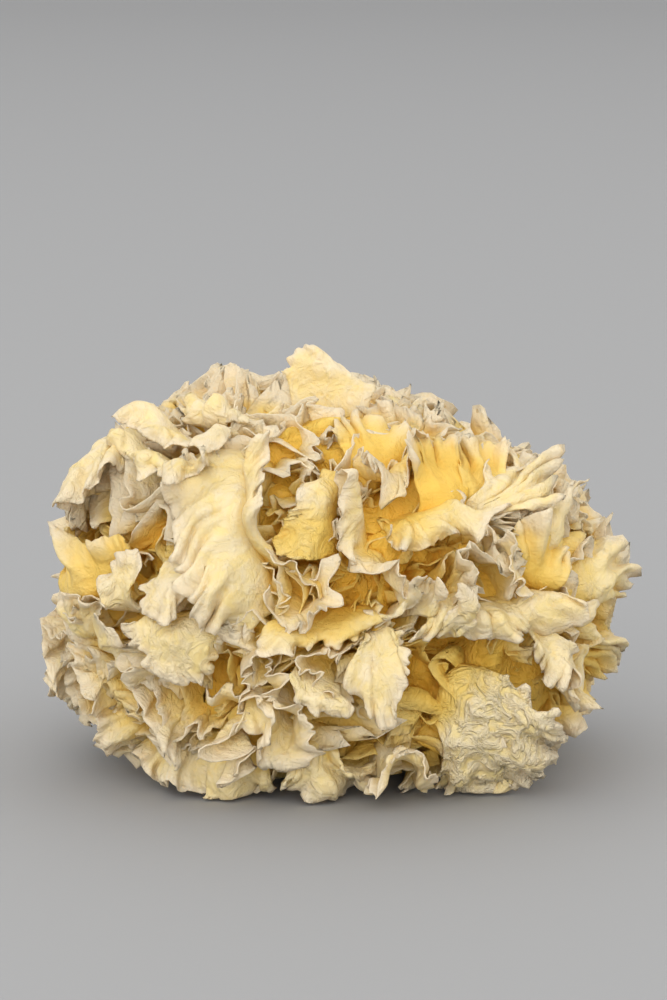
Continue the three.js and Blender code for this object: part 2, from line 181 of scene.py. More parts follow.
def spline(knots, count):
    """A smooth line through points given as azimuth, elevation and share of the globe's radius."""
    knots = np.array(knots, float)
    ends = 2 * knots[[0, -1]] - knots[[1, -2]]
    knots = np.concatenate([ends[:1], knots, ends[1:]])
    place = np.linspace(0, len(knots) - 3, count)
    cell = np.minimum(place.astype(int), len(knots) - 4)
    t = (place - cell)[:, None]
    before, start, end, after = (knots[cell + step] for step in range(4))
    bend = 2 * before - 5 * start + 4 * end - after
    twist = 3 * start - before - 3 * end + after
    azimuth, elevation, reach = (start + 0.5 * t * (end - before + t * (bend + t * twist))).T
    return on_globe(direction(np.radians(azimuth), np.radians(elevation)), reach)


def length_of(line):
    return np.linalg.norm(np.diff(line, axis=0), axis=-1).sum()


def evenly(line, count):
    """The same line with its points the same distance apart."""
    travelled = np.concatenate([[0], np.cumsum(np.linalg.norm(np.diff(line, axis=0), axis=-1))])
    places = np.linspace(0, travelled[-1], count)
    return np.stack([np.interp(places, travelled, line[:, axis]) for axis in range(3)], -1)


def arc(frond, depth, width, lean, count):
    """A frond's rim bent over the globe, or at less depth and width its waist, moved by lean degrees."""
    azimuth, elevation = np.radians(frond["at"])
    out = direction(azimuth, elevation)
    across = direction(azimuth + math.pi / 2, 0)
    up = direction(azimuth, elevation + math.pi / 2)
    s = np.linspace(0, 1, count)
    heading = np.radians(frond["turn"] + frond["curl"] * (s - 0.5))
    pace = math.radians(frond["span"]) * width / (count - 1)
    flat = np.cumsum(np.stack([np.cos(heading), np.sin(heading)], -1) * pace, 0)
    flat += np.radians(lean) - flat.mean(0)
    reach = depth * through_three(s, *frond["reach"])
    return on_globe(unit(out + flat[:, :1] * across + flat[:, 1:] * up), reach)


def lines_of(frond, count):
    """A frond's rim, and its waist, where it comes out from between its neighbours."""
    if "rim" in frond:
        return tuple(evenly(spline(frond[line], 200), count) for line in ("rim", "waist"))
    return arc(frond, 1, 1, (0, 0), count), arc(frond, ARC_WAIST, ARC_WAIST, frond["lean"], count)


def noise_1d(x, seed, cells=400):
    """Smooth noise between about -1 and 1 along x, one cell per unit."""
    knots = np.random.default_rng(seed).uniform(-1, 1, cells)
    cell = np.floor(x).astype(int)
    t = smooth(x - cell, 0, 1)
    return knots[cell % cells] * (1 - t) + knots[(cell + 1) % cells] * t


def scallops(x, seed):
    """Rounded lobes between narrow notches: from 0 at a lobe's tip to 1 at a notch."""
    return 1 - np.sqrt(np.abs(noise_1d(x, seed)))


LATTICE = 32
LATTICE_VALUES = np.random.default_rng(7).uniform(-1, 1, (LATTICE, LATTICE, LATTICE, 3))


def noise_3d(points, cell_size):
    """A smooth random vector at each point, between about -1 and 1 each way."""
    p = points / cell_size + 100.0
    cell = np.floor(p).astype(int)
    t = smooth(p - cell, 0, 1)
    total = np.zeros(points.shape)
    for corner in np.ndindex(2, 2, 2):
        index = (cell + corner) % LATTICE
        weight = np.prod(np.where(corner, t, 1 - t), axis=-1, keepdims=True)
        total += weight * LATTICE_VALUES[index[..., 0], index[..., 1], index[..., 2]]
    return total


# ---- one frond ----

def face_normals(grid):
    return unit(np.cross(np.gradient(grid, axis=0), np.gradient(grid, axis=1)))


def meander(base, normal, heading):
    """A row of points moved sideways into ruffles: a line that runs along the row with this heading."""
    steps = np.linalg.norm(np.diff(base, axis=0), axis=-1)
    along = np.cumsum(np.cos(heading))
    aside = np.cumsum(np.sin(heading))
    span = max(along[-1] - along[0], 0.3 * len(along))
    along = (along - along[0]) / span
    aside = aside - aside[0] - (aside[-1] - aside[0]) * along
    aside = (aside - aside.mean()) * steps.sum() / span
    travelled = np.concatenate([[0], np.cumsum(steps)]) / steps.sum()
    moved = np.stack([np.interp(along, travelled, base[:, axis]) for axis in range(3)], -1)
    sideways = np.stack([np.interp(along, travelled, normal[:, axis]) for axis in range(3)], -1)
    return moved + sideways * aside[:, None]


def shortfall(fray, length, u, number):
    """How far short of its line a ragged rim stays, in mm, at shares u of its length."""
    lobes = sum(depth * scallops(length / wave * u, number + LOBE_SEED * k)
                for k, (wave, depth) in enumerate(LOBES, 1))
    teeth = TOOTH_DEPTH * noise_1d(length / TOOTH_LENGTH * u, number + TOOTH_SEED)
    torn = np.maximum(noise_1d(length / TEAR_SPACING * u, number + TEAR_SEED) - 0.5, 0)
    corner = min(CORNER, length / 4)
    near = np.maximum(1 - length * (0.5 - np.abs(u - 0.5)) / corner, 0)
    corners = corner * (1 - np.sqrt(1 - near ** 2))
    return fray * (lobes + teeth + TEAR_DEPTH * torn - RIM_LIFT) + corners


def ruffle_heading(levels, length, u, v, number):
    """How far each row's line turns away from the way it runs, in radians."""
    heading = np.zeros((len(v), len(u)))
    for level, (wave, swing, onset) in enumerate(levels):
        cycles = max(length / wave, FEWEST_CYCLES)
        seed = number * 10 + level
        wander = WANDER * noise_1d(cycles * u, seed) + PHASE_STEP * seed
        uneven = noise_1d(UNEVEN_PITCH * cycles * u + SWING_OFFSET, seed + SWING_SEED)
        strength = swing * (1 + UNEVENNESS * uneven)
        phase = math.tau * (cycles * u + wander) + DRIFT * v[:, None]
        heading += strength * smooth(v[:, None], onset, FULL_SWING_AT) * np.sin(phase)
    return STEEPEST * np.tanh(heading / STEEPEST)


def sheet(frond, number, detail, columns):
    """The middle surface of a frond as rows of points from inside the heart to its rim.

    With it come the rows' shares v of the way out, and the way from the centre to the rim in mm.
    """
    frond_kind = KINDS[frond["kind"]]
    rim, waist = lines_of(frond, columns)
    root = CENTRE + ROOT * (waist - CENTRE)
    length = length_of(rim)
    far = np.linalg.norm(rim[columns // 2] - CENTRE)
    u = np.linspace(0, 1, columns)
    v = detail.start + (1 - detail.start) * np.linspace(0, 1, detail.rows) ** ROW_CROWDING

    short = shortfall(frond_kind["fray"], length, u, number) / far
    share = v[:, None] * (1 - short * smooth(v[:, None], EDGE_FROM, 1))
    base = through_three(share[..., None], root, waist, rim)
    normal = face_normals(base)
    lip = frond_kind["lip"] * noise_1d(length / LIP_LENGTH * u, number + LIP_SEED)
    lip = lip * smooth(v[:, None], EDGE_FROM, 1.05) ** 2
    base = base + normal * lip[..., None]
    heading = ruffle_heading(frond_kind["levels"], length, u, v, number)
    rows = zip(base, normal, heading)
    return np.stack([meander(*row) for row in rows]), v, far


def crumpled(grid, v, crinkle):
    """The sheet bent by the warps that run through the whole body, and creased across its own face."""
    grid = grid + sum(size * noise_3d(grid, cell) for size, cell in WARPS)
    outer = smooth(v, 0.45, 0.8)[:, None, None]
    size, cell = CURL
    grid = grid + outer * size * noise_3d(grid, cell)
    creases = 0
    for size, cell in CREASES:
        noise = np.abs(noise_3d(grid, cell))
        creases = creases + size * (noise[..., :1] - noise[..., 1:2])
    return grid + outer * crinkle * creases * face_normals(grid)


def settle(points):
    """Bends what nears the floor, or would pass through it, so that it lies just above."""
    height = points[..., 2]
    lifted = FLOOR_GAP + np.logaddexp(0, height - FLOOR_GAP)
    points[..., 2] = np.where(height < BENT_BELOW, lifted, height)
    return points


def sheet_faces(rows, columns):
    """The faces of a thin closed sheet, as quads and pentagons.

    Its points are the front's rows, then the back's. The inner rows use every second column.
    """
    index = np.arange(rows * columns).reshape(rows, columns)
    split = round(INNER_ROWS * rows)
    inner, outer = index[:split, ::2], index[split:]
    seam = outer[0]
    quads = np.concatenate([
        np.stack([part[:-1, :-1], part[:-1, 1:], part[1:, 1:], part[1:, :-1]], -1).reshape(-1, 4)
        for part in (inner, outer)])
    pentagons = np.stack([inner[-1, :-1], inner[-1, 1:], seam[2::2], seam[1::2], seam[:-1:2]], -1)
    border = np.concatenate([inner[0], index[1:, -1], index[-1, -2::-1], index[-2:0:-1, 0]])
    after = np.roll(border, -1)
    back = rows * columns
    edge = np.stack([after, border, border + back, after + back], -1)
    return (np.concatenate([quads, quads[:, ::-1] + back, edge]),
            np.concatenate([pentagons, pentagons[:, ::-1] + back]))


Part = namedtuple("Part", "points faces from_rim tint crinkle")


def frond_mesh(frond, number, detail):
    """A frond as a thin closed sheet, and for each of its points how far it is from the rim in mm."""
    rim, _ = lines_of(frond, 60)
    columns = 2 * max(round(length_of(rim) / detail.spacing / 2), 12) + 1
    crinkle = KINDS[frond["kind"]]["crinkle"]
    grid, v, far = sheet(frond, number, detail, columns)
    grid = crumpled(grid, v, crinkle)
    half = HALF_THICKNESS_INSIDE + (HALF_THICKNESS_AT_RIM - HALF_THICKNESS_INSIDE) * smooth(v, 0.5, 1)
    offset = face_normals(grid) * half[:, None, None]
    points = settle(np.concatenate([grid + offset, grid - offset]).reshape(-1, 3))
    from_rim = np.tile(np.repeat((1 - v) * far, columns), 2)

    faces = sheet_faces(detail.rows, columns)
    used = np.unique(np.concatenate([sized.ravel() for sized in faces]))
    faces = [np.searchsorted(used, sized) for sized in faces]
    same = np.ones(len(used))
    return Part(points[used], faces, from_rim[used], frond["tint"] * same, crinkle * same)


# ---- the fronds ----

# The membranes that show from the front, one by one. A rim and a waist are lines through points, and each
# point is its azimuth from the front towards +X and its elevation, in degrees, and its share of the
# globe's radius. "tint" goes from 0, golden, to 1, pale.
MEMBRANES = [
    # the trumpet of the upper left and the cup that its right edge runs into
    dict(kind="smooth", tint=0.8,
         rim=[(-47, 28, 1.0), (-40, 25, 1.03), (-34.5, 18.5, 1.03), (-33, 12, 1.02), (-31, 6, 1.03),
              (-26, 1, 1.04), (-20, -3, 1.01)],
         waist=[(-30, 42, 0.88), (-21, 37, 0.92), (-20, 28, 0.93), (-20, 19, 0.91), (-17, 12, 0.88),
                (-14, 6, 0.86)]),
    dict(kind="smooth", tint=0.6,
         rim=[(-20, 39, 0.98), (-17, 31, 1.02), (-18, 23, 1.03), (-16, 17, 1.03), (-9, 13.5, 1.04),
              (-1, 11, 1.02)],
         waist=[(-24, 34, 0.9), (-22, 22, 0.87), (-17, 12, 0.8), (-9, 14, 0.76)]),
    dict(kind="smooth", tint=1.0,
         rim=[(-17, 5, 0.98), (-11, 4, 1.04), (-6.5, 2.5, 1.07), (-2, 4, 1.08), (-0.5, 7.5, 1.07),
              (-2.5, 10.5, 1.04), (-8, 12, 1.0)],
         waist=[(-13, 9, 0.8), (-9, 7.5, 0.76), (-6, 7, 0.75), (-5, 8, 0.75), (-7, 10, 0.76)]),
    # frills of the left shoulder, one above the other
    dict(kind="creased", tint=1.0,
         rim=[(-60, 31, 0.98), (-53, 28, 1.01), (-46, 28, 1.03), (-39, 27, 1.04), (-31, 29, 1.02)],
         waist=[(-57, 35, 0.93), (-48, 33, 0.94), (-38, 33, 0.94), (-30, 35, 0.93)]),
    dict(kind="frilly", tint=1.0,
         rim=[(-66, 38, 0.98), (-56, 36, 1.02), (-46, 37, 1.02), (-36, 36, 1.03), (-27, 38, 1.01)],
         waist=[(-64, 43, 0.92), (-50, 41, 0.94), (-36, 41, 0.94), (-28, 43, 0.93)]),
    dict(kind="creased", tint=0.9,
         rim=[(-66, 49, 0.95), (-54, 46, 0.98), (-42, 46, 1.0), (-28, 48, 0.98), (-16, 50, 0.96)],
         waist=[(-64, 55, 0.91), (-46, 52, 0.93), (-24, 54, 0.92)]),
    # the fold outside them, which drapes down over the hollow
    dict(kind="creased", tint=0.9,
         rim=[(-82, 12, 0.93), (-72, 14, 0.96), (-64, 16, 0.99), (-57, 19, 1.02), (-52, 25, 1.0)],
         waist=[(-86, 32, 0.9), (-76, 35, 0.92), (-66, 36, 0.92), (-57, 35, 0.91)]),
    # the pale tongue, the leaf below it, the bowl at the left and the flap under the bowl
    dict(kind="blade", tint=1.0,
         rim=[(-39, 9, 1.0), (-38, 3, 1.05), (-35.5, 0, 1.07), (-32.5, 1, 1.06), (-31.5, 8, 1.0)],
         waist=[(-37.5, 15, 0.9), (-34, 15, 0.9)]),
    dict(kind="leaf", tint=0.9,
         rim=[(-48, 7, 1.0), (-46.5, 13, 1.03), (-43, 14.5, 1.03), (-40.5, 13, 1.02)],
         waist=[(-46, 1, 0.93), (-42, 2, 0.93)]),
    dict(kind="leaf", tint=0.4,
         rim=[(-41, -3, 0.99), (-38, -7, 1.03), (-34, -11, 1.06), (-28, -12.5, 1.06),
              (-24, -11, 1.05), (-22, -4, 1.0)],
         waist=[(-38, 2, 0.9), (-31, 3, 0.92), (-26, 1, 0.9)]),
    dict(kind="smooth", tint=0.3,
         rim=[(-72, 10, 0.88), (-61, 14, 0.95), (-52, 15.5, 1.02), (-47, 19, 0.99)],
         waist=[(-66, 0, 0.92), (-54, 1, 0.84), (-47, 5, 0.78)]),
    dict(kind="creased", tint=0.6,
         rim=[(-62, 2, 0.98), (-54, 4, 1.02), (-46, 1, 1.04), (-42, -5, 1.03), (-45, -11, 1.0)],
         waist=[(-60, -8, 0.87), (-53, -8, 0.86), (-49, -11, 0.86)]),
    # the table and the upright pleats below the cup
    dict(kind="smooth", tint=0.5,
         rim=[(-17, -2, 0.99), (-11, -4, 1.02), (-3, -4, 1.01), (5, -4, 1.01), (8, 0, 0.99)],
         waist=[(-13, 4, 0.89), (-3, 3, 0.9), (7, 4, 0.88)]),
    dict(kind="smooth", tint=0.9,
         rim=[(-21, -3, 1.0), (-19.5, -10, 1.04), (-15, -14, 1.05), (-13.5, -20, 1.06),
              (-12, -27, 1.08), (-8.5, -30.5, 1.09), (-6.5, -27, 1.08), (-8.5, -20, 1.06),
              (-11.5, -15, 1.04), (-13.5, -9, 1.02), (-16, -3, 0.99)],
         waist=[(-18, -5, 0.74), (-15, -14, 0.73), (-11, -24, 0.76), (-11, -20, 0.74),
                (-14, -8, 0.72)]),
    dict(kind="pleated", tint=0.7,
         rim=[(-27, -14, 0.99), (-22, -16, 1.03), (-20, -22, 1.05), (-20.5, -33, 1.08)],
         waist=[(-28, -18, 0.8), (-26, -24, 0.78), (-26, -32, 0.8)]),
    dict(kind="smooth", tint=0.6,
         rim=[(-19, -22, 1.0), (-16, -25.5, 1.03), (-13, -24, 1.02)],
         waist=[(-19, -16, 0.85), (-14, -17, 0.85)]),
    # the scoop with its spoon-shaped lip and the spearhead in the middle
    dict(kind="smooth", tint=0.7,
         rim=[(6, -6, 1.0), (0, -4.5, 1.03), (-4, -5, 1.05), (-6.5, -9, 1.05), (-2, -14.5, 1.06),
              (2, -17.5, 1.06), (4.5, -16, 1.03)],
         waist=[(4, -8, 0.78), (0, -8, 0.73), (-1, -11, 0.73), (3, -14, 0.78)]),
    dict(kind="leaf", tint=0.6,
         rim=[(-9.5, -10, 1.0), (-8, -15, 1.05), (-3, -19, 1.07), (2, -20.5, 1.06), (4, -18, 1.03)],
         waist=[(-8, -9, 0.93), (-3, -12, 0.94), (2, -16, 0.93)]),
    dict(kind="blade", tint=0.9,
         rim=[(5.5, -6, 1.02), (3, -12.5, 1.06), (7, -18, 1.09), (11.5, -22.5, 1.1), (13, -17, 1.1),
              (15, -12, 1.09), (11, -5, 1.03)],
         waist=[(6.5, -2, 0.92), (8.5, -3, 0.95), (10, -1, 0.92)]),
    # the pitted cheek, the ribbon beside it and the pale frill it ends in
    dict(kind="leaf", tint=0.1,
         rim=[(-3, 37, 0.97), (-8, 29.5, 1.0), (-12, 24, 1.02), (-15.5, 19, 1.02), (-14, 15, 1.0)],
         waist=[(4, 34, 0.9), (1, 25, 0.92), (-2, 17, 0.91)]),
    dict(kind="broad", tint=0.8,
         rim=[(-2, 35, 0.98), (0, 27, 1.01), (2, 20, 1.03), (5, 13, 1.04), (10, 7, 1.05),
              (14, 2, 1.03)],
         waist=[(6, 31, 0.82), (8, 24, 0.8), (10, 16, 0.79), (13, 9, 0.8)]),
    dict(kind="frilly", tint=1.0,
         rim=[(7, 0, 1.02), (10, 5, 1.05), (13, 9, 1.04), (18, 7, 1.04), (17, 1, 1.03)],
         waist=[(11, 2, 0.88), (14, 5, 0.88), (15, 1, 0.88)]),
    # the brow over the deepest holes, and the horn and the ridge below them
    dict(kind="frilly", tint=0.4,
         rim=[(9, 18, 0.97), (14, 15, 1.0), (20, 16, 1.03), (25, 18, 1.03), (31, 17, 1.04),
              (34, 12, 1.0)],
         waist=[(14, 25, 0.84), (20, 26, 0.86), (28, 24, 0.85)]),
    dict(kind="smooth", tint=0.8,
         rim=[(30, 16, 1.02), (33, 14, 1.05), (34, 8, 1.06), (38, 4, 1.05), (42, 2, 1.02)],
         waist=[(35, 17, 0.85), (38, 11, 0.84), (41, 7, 0.84)]),
    dict(kind="leaf", tint=0.8,
         rim=[(20, -2, 1.0), (20.5, 5, 1.06), (23, 6, 1.08), (25, 4, 1.07), (25.5, -3, 1.0)],
         waist=[(21.5, -6, 0.9), (23, -6, 0.92), (24.5, -7, 0.9)]),
    dict(kind="cupped", tint=0.7,
         rim=[(14, -8, 1.0), (20, -6, 1.03), (27, -7, 1.04), (33, -6, 1.05), (39, -5, 1.05),
              (45, -6, 1.04), (51, -3, 1.01)],
         waist=[(18, 3, 0.88), (28, 3, 0.89), (38, 3, 0.89), (46, 4, 0.88)]),
    # the cups and the ribbed fan of the upper right
    dict(kind="smooth", tint=0.3,
         rim=[(2, 48, 0.96), (10, 54, 1.0), (22, 53, 1.0), (31, 47, 1.0)],
         waist=[(7, 38, 0.85), (14, 34, 0.86), (21, 38, 0.85)]),
    dict(kind="broad", tint=0.7,
         rim=[(7, 41, 0.97), (9, 34, 1.0), (12, 30, 1.03), (17, 33, 1.03), (24, 37, 1.02),
              (31, 41, 1.0)],
         waist=[(12, 38, 0.82), (15, 37, 0.8), (22, 39, 0.82), (27, 42, 0.84)]),
    dict(kind="smooth", tint=0.0,
         rim=[(20, 37, 0.99), (26, 43, 1.01), (34, 42, 1.01), (39, 38, 1.0)],
         waist=[(21, 24, 0.88), (28, 20, 0.88), (34, 23, 0.87)]),
    dict(kind="smooth", tint=0.3,
         rim=[(38, 40, 0.98), (45, 39, 0.99), (51, 38, 0.97), (56, 34, 0.96)],
         waist=[(34, 27, 0.89), (39, 24, 0.88), (45, 25, 0.88)]),
    dict(kind="pleated", tint=0.9,
         rim=[(50, 36, 0.97), (56, 34, 0.96), (61, 28, 0.96), (58, 22, 0.98), (51, 18, 0.99)],
         waist=[(36, 26, 0.95), (37, 24, 0.95), (38, 21, 0.95)]),
    dict(kind="frilly", tint=0.9,
         rim=[(57, 38, 0.9), (64, 35, 0.88), (70, 28, 0.87), (69, 20, 0.87)],
         waist=[(54, 28, 0.9), (60, 25, 0.89), (62, 19, 0.88)]),
    dict(kind="smooth", tint=0.1,
         rim=[(37, 17, 0.98), (42, 19, 1.01), (50, 16, 1.03), (55, 9, 1.02)],
         waist=[(41, 7, 0.87), (46, 5, 0.87), (50, 3, 0.87)]),
    # the wide bowl of the right side, and the flap and the loop below it
    dict(kind="broad", tint=0.5,
         rim=[(54, 20, 0.98), (62, 18, 0.96), (69, 12, 0.93), (75, 4, 0.9), (79, -5, 0.89)],
         waist=[(47, 12, 0.89), (51, 7, 0.89), (55, 2, 0.9), (61, -4, 0.91)]),
    dict(kind="frilly", tint=0.6,
         rim=[(52, 4, 0.99), (58, 0, 1.0), (66, -6, 0.96), (73, -12, 0.92), (76, -20, 0.9)],
         waist=[(50, -5, 0.89), (57, -9, 0.89), (64, -15, 0.9)]),
    dict(kind="leaf", tint=0.6,
         rim=[(41, -9, 1.0), (43, -14, 1.04), (47, -14, 1.05), (49, -8, 1.02)],
         waist=[(43, -4, 0.92), (47, -4, 0.92)]),
    dict(kind="frilly", tint=0.7,
         rim=[(51, -9, 1.0), (50.5, -15, 1.05), (54, -19, 1.06), (59, -16, 1.05), (60, -10, 1.0)],
         waist=[(54, -11, 0.84), (56, -13, 0.83), (58, -11, 0.84)]),
    # the crumpled sheet of the lower right, the arch and the skirts on the surface
    dict(kind="crumpled", tint=0.6,
         rim=[(38, -14, 1.02), (43, -19, 1.05), (49, -25, 1.07), (47, -36, 1.11), (38, -45, 1.16),
              (28, -47, 1.13)],
         waist=[(33, -13, 0.94), (29, -14, 0.96), (25, -18, 0.96), (23, -26, 0.94)]),
    dict(kind="smooth", tint=0.8,
         rim=[(6, -46, 1.12), (8, -37, 1.11), (11, -31, 1.1), (15, -28.5, 1.1), (19, -30, 1.1),
              (22.5, -36, 1.11), (25, -45, 1.13)],
         waist=[(9.5, -47, 0.96), (11, -39, 0.94), (13, -35, 0.93), (15, -34, 0.93),
                (17.5, -35, 0.93), (20, -39, 0.94), (22, -47, 0.96)]),
    dict(kind="creased", tint=0.5,
         rim=[(-15, -43, 1.08), (-7, -46, 1.12), (0, -49, 1.15), (6, -47, 1.15), (4, -38, 1.08)],
         waist=[(-9, -30, 0.9), (-2, -28, 0.9), (1, -32, 0.9)]),
    dict(kind="frilly", tint=0.4,
         rim=[(-36, -42, 1.08), (-28, -44, 1.1), (-18, -44, 1.1)],
         waist=[(-34, -32, 0.88), (-26, -33, 0.88), (-18, -34, 0.88)]),
    dict(kind="frilly", tint=0.3,
         rim=[(27, -46, 1.14), (34, -46, 1.16), (42, -44, 1.14), (48, -38, 1.1)],
         waist=[(30, -38, 0.86), (36, -37, 0.86), (43, -33, 0.86)]),
    # the peak
    dict(kind="blade", tint=1.0,
         rim=[(-57, 72, 1.02), (-62, 76, 1.13), (-56, 79, 1.19), (-34, 81, 1.21), (-4, 81, 1.2),
              (24, 80, 1.14), (46, 74, 1.04)],
         waist=[(-45, 70, 0.93), (-10, 72, 0.94), (30, 70, 0.93)]),
]

# A frond of the crown, and the crowded upright frills of the lower left and right. Their rims are arcs.
# "at" is the rim's middle. There it runs at "turn", where 0 is along +azimuth and 90 straight up. It is
# "span" long, and its heading changes by "curl" from end to end. "reach" is how far out its start, middle
# and end are, and "lean" is how far its waist lies across and up from it. All but the reach are in degrees.
FRONDS = [
    dict(kind="frilly", tint=1.0, at=(-62, 54), turn=40, span=42, curl=-100,
         reach=(0.91, 0.95, 0.93), lean=(8, -14)),
    dict(kind="frilly", tint=0.6, at=(-44, -20), turn=80, span=32, curl=30,
         reach=(0.98, 1.03, 1), lean=(6, 0)),
    dict(kind="frilly", tint=0.8, at=(-57, -12), turn=95, span=36, curl=-30,
         reach=(1, 1.04, 1), lean=(4, 0)),
    dict(kind="frilly", tint=0.6, at=(-62, -34), turn=70, span=34, curl=40,
         reach=(1.06, 1.12, 1.06), lean=(6, 4)),
    dict(kind="frilly", tint=0.8, at=(-80, -22), turn=75, span=40, curl=-40,
         reach=(1.02, 1.06, 1), lean=(0, 4)),
    dict(kind="frilly", tint=0.6, at=(-48, -36), turn=-15, span=32, curl=10,
         reach=(1.03, 1.08, 1.05), lean=(0, 10)),
    dict(kind="frilly", tint=0.4, at=(56, -10), turn=-10, span=32, curl=60,
         reach=(0.98, 1.0, 0.96), lean=(0, 8)),
    dict(kind="frilly", tint=0.4, at=(62, -30), turn=30, span=32, curl=60,
         reach=(0.98, 1.0, 0.96), lean=(-6, 8)),
]

# Places that set how far out the spread fronds are, low in the pockets and higher on the folds: azimuth,
# elevation and width in degrees, and share of the globe's radius.
PLACES = [
    (-42, 19, 16, 0.86), (-47, 5, 8, 0.88), (20, 9, 16, 0.85), (37, -11, 12, 0.87),
    (-30, -16, 10, 0.88), (10, -26, 12, 0.85), (15, -40, 16, 0.85), (-9, 8, 9, 0.87),
    (-13, 27, 6, 0.88), (0, -10, 10, 0.87), (35, 29, 12, 0.9), (5, 28, 8, 0.9), (47, 9, 10, 0.9),
    (-14, -20, 18, 0.82), (-54, 8, 14, 0.88), (-46, 42, 30, 1.0), (-66, 26, 20, 0.99),
    (-60, -18, 24, 0.99), (58, -16, 24, 0.96), (95, 62, 70, 0.88), (35, 64, 30, 0.87),
    (92, 0, 56, 0.93), (-92, 14, 40, 0.92), (-50, 66, 50, 0.89), (76, 36, 28, 0.9),
    (-70, 48, 20, 0.93), (110, 25, 26, 0.86), (-87, 37, 14, 0.87), (120, 36, 14, 0.89),
]

# The spread fronds. The front's lie among the placed ones, from FRONT_BOTTOM up to FRONT_TOP and as far
# as FRONT_AZIMUTH to each side. Above them is the crown, and below UNDERSIDE, where the body rests, there
# are none. Above PEAK_EDGE, the left ones stand up with the peak. Angles are in degrees and reaches are
# shares of the globe's radius.
FRONT_AZIMUTH = 62
FRONT_TOP = 58
FRONT_BOTTOM = -50
UNDERSIDE = -66
PEAK_EDGE = 78
FRONT_REACH = 0.96
AROUND_REACH = 1.0
CROWN_REACH = 0.92
PEAK_REACH = 1.06
REACH_STEP = 0.1  # how much the middles differ, and half of it is how much lower the ends are
SPAN = 24
MOST_CURL = 240
MOST_LEAN = 8

# Factors whose multiples spread evenly over the range from 0 to 1.
GOLDEN_RATIO = 0.6180339887
TURN_FACTOR, SPAN_FACTOR, CURL_FACTOR, REACH_FACTOR = 0.7549, 0.819, 0.671, 0.57
LEAN_FACTORS = (0.431, 0.297)

# The heart: its reach, how far below a place's fronds it stays and how far it rises again at that place's
# edge, its lumps as size and cell in mm, and the distance from the rims that the material is told.
HEART_REACH = 0.88
HEART_BELOW, HEART_RISE = 0.09, 0.12
HEART_LUMPS = ((5, 9), (2.5, 4))
HEART_ROWS, HEART_COLUMNS = 100, 210
HEART_POLE = 1.5  # radians of elevation at which it is capped, above and below
FAR_FROM_RIM = 20


def share_of(number, factor):
    return (number * factor) % 1


def middle_reach(azimuth, elevation, reach):
    """How far out the middle of a spread frond's rim is."""
    middle = reach if elevation < FRONT_TOP else CROWN_REACH
    if elevation > PEAK_EDGE and azimuth < 0:
        middle = PEAK_REACH
    for place_azimuth, place_elevation, width, place_reach in PLACES:
        if math.hypot(azimuth - place_azimuth, elevation - place_elevation) < width / 2:
            middle = place_reach
    return middle


def paleness(azimuth, elevation, share):
    """The tint of a spread frond: paler to the left, at the back and higher up."""
    turned = math.radians(azimuth)
    side = -0.25 * math.sin(turned) + 0.3 * (1 - math.cos(turned))
    return 0.5 + side + elevation / 150 + 0.8 * (share - 0.5)


def spread_fronds(count, reach, seed, in_front):
    """Fronds from evenly spread directions, each with its number's own turn, length and kind."""
    fronds = []
    for i in range(count):
        elevation = math.degrees(math.asin(1 - (2 * i + 1) / count))
        azimuth = 360 * share_of(i + seed, GOLDEN_RATIO) - 180
        front = abs(azimuth) < FRONT_AZIMUTH and FRONT_BOTTOM < elevation < FRONT_TOP
        if front != in_front or elevation < UNDERSIDE:
            continue
        middle = middle_reach(azimuth, elevation, reach)
        middle = middle + REACH_STEP * (share_of(i, REACH_FACTOR) - 0.5)
        end = middle - REACH_STEP / 2
        fronds.append(dict(
            kind=("frilly", "broad", "frilly", "pleated", "creased")[i % 5],
            at=(azimuth, elevation),
            tint=paleness(azimuth, elevation, share_of(i, GOLDEN_RATIO)),
            turn=180 * share_of(i + seed, TURN_FACTOR),
            span=SPAN * (0.8 + 0.4 * share_of(i, SPAN_FACTOR)),
            curl=MOST_CURL * (2 * share_of(i, CURL_FACTOR) - 1),
            reach=(end, middle, end),
            lean=tuple(MOST_LEAN * (2 * share_of(i, factor) - 1) for factor in LEAN_FACTORS)))
    return fronds


def heart_mesh():
    """The lump of inner folds, seen at the bottom of the deep pockets. It is golden at the front, where
    those pockets are, as painted shade, and paler towards the back.
    """
    azimuths = np.linspace(-math.pi, math.pi, HEART_COLUMNS + 1)[:-1]
    azimuth, elevation = np.meshgrid(azimuths, np.linspace(-HEART_POLE, HEART_POLE, HEART_ROWS))
    level = np.full(azimuth.shape, HEART_REACH)
    for place_azimuth, place_elevation, width, place_reach in PLACES:
        apart = np.hypot(np.degrees(azimuth) - place_azimuth, np.degrees(elevation) - place_elevation)
        rise = HEART_RISE * smooth(apart, 0.3 * width, 0.8 * width)
        level = np.minimum(level, place_reach - HEART_BELOW + rise)
    points = on_globe(direction(azimuth, elevation), level)
    points = points + sum(size * noise_3d(points, cell) for size, cell in HEART_LUMPS)
    index = np.arange(azimuth.size).reshape(azimuth.shape)
    right = np.roll(index, -1, axis=1)
    quads = np.stack([index[:-1], right[:-1], right[1:], index[1:]], -1).reshape(-1, 4)
    caps = np.stack([index[0, ::-1], index[-1]])
    same = np.ones(azimuth.size)
    # golden at the front, as painted shade of the pockets there; paler towards the back
    tint = 0.6 * (1 - np.cos(azimuth)).ravel()
    return Part(settle(points.reshape(-1, 3)), [quads, caps], FAR_FROM_RIM * same, tint, same)


# ---- pieces ----

RIM_BAND = 10  # mm, the unit of the from_rim that the material reads

# The borders between the pieces, in degrees of elevation and of azimuth.
CROWN_FROM, UNDERSIDE_TO = 50, -40
SIDE_FROM, BACK_FROM = 50, 125


